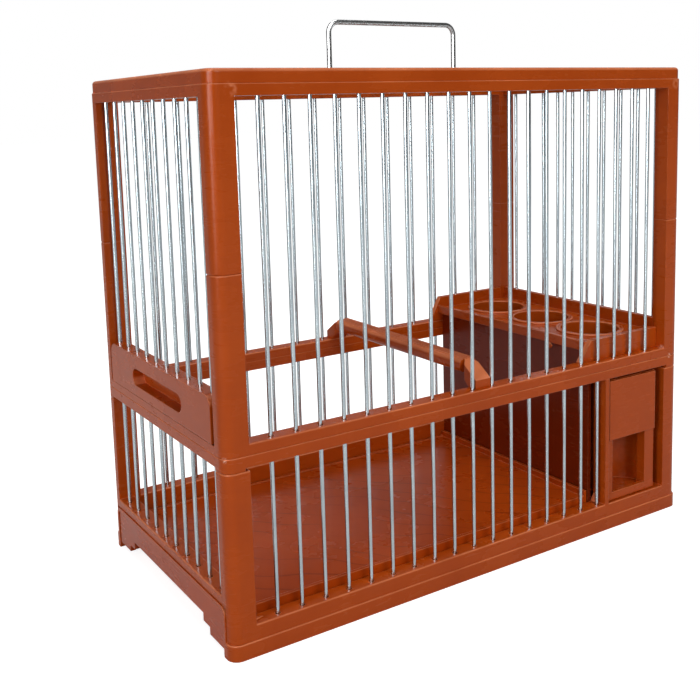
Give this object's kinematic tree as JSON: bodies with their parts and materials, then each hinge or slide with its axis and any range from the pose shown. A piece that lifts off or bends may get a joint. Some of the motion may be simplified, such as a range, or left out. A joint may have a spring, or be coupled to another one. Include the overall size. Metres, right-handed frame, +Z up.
{
  "type": "bird cage",
  "caption": "Small travel bird cage of stacked brown plastic frames and steel wires, with a lift-up side door, litter tray, perch, feeder drawer and wire handle.",
  "frame": {"origin": "centre of the footprint, on the surface the cage stands on", "axes": "+Z up, +X along the length from the door end to the feeder end, -Y out of the feeder's face"},
  "size_m": [0.2096, 0.108, 0.2044],
  "materials": {
    "brown_plastic": "semi-gloss injection moulded",
    "cage_wire": "galvanised wire",
    "handle_wire": "bright plated wire"
  },
  "bodies": {
    "cage": {"base_frame": "brown_plastic", "lower_frame": "brown_plastic", "middle_ring": "brown_plastic", "middle_frame": "brown_plastic", "upper_frame": "brown_plastic", "roof_frame": "brown_plastic", "front_wires_upper": "cage_wire", "front_wires_lower": "cage_wire", "back_wires_upper": "cage_wire", "back_wires_lower": "cage_wire", "right_wires_upper": "cage_wire", "left_wires_lower": "cage_wire", "roof_wires": "cage_wire", "perch": "brown_plastic", "feeder_shelf": "brown_plastic", "feeder_housing": "brown_plastic"},
    "side_door": {"side_door_bar": "brown_plastic", "side_door_wires": "cage_wire"},
    "litter_tray": {"tray": "brown_plastic"},
    "handle": {"handle_bail": "handle_wire"},
    "seed_drawer": {"feeder_drawer": "brown_plastic"},
    "window_shutter": {"feeder_shutter": "brown_plastic"}
  },
  "joints": [
    {"name": "door_lift", "type": "slide", "parent": "cage", "child": "side_door", "axis": [0, 0, 1], "range_m": [0, 0.09]},
    {"name": "tray_pull", "type": "slide", "parent": "cage", "child": "litter_tray", "axis": [-1, 0, 0], "range_m": [0, 0.17]},
    {"name": "handle_drop", "type": "slide", "parent": "cage", "child": "handle", "axis": [0, 0, -1], "range_m": [0, 0.015]},
    {"name": "drawer_pull", "type": "slide", "parent": "cage", "child": "seed_drawer", "axis": [0, -1, 0], "range_m": [0, 0.09]},
    {"name": "shutter_close", "type": "slide", "parent": "seed_drawer", "child": "window_shutter", "axis": [0, 0, -1], "range_m": [0, 0.022]}
  ]
}
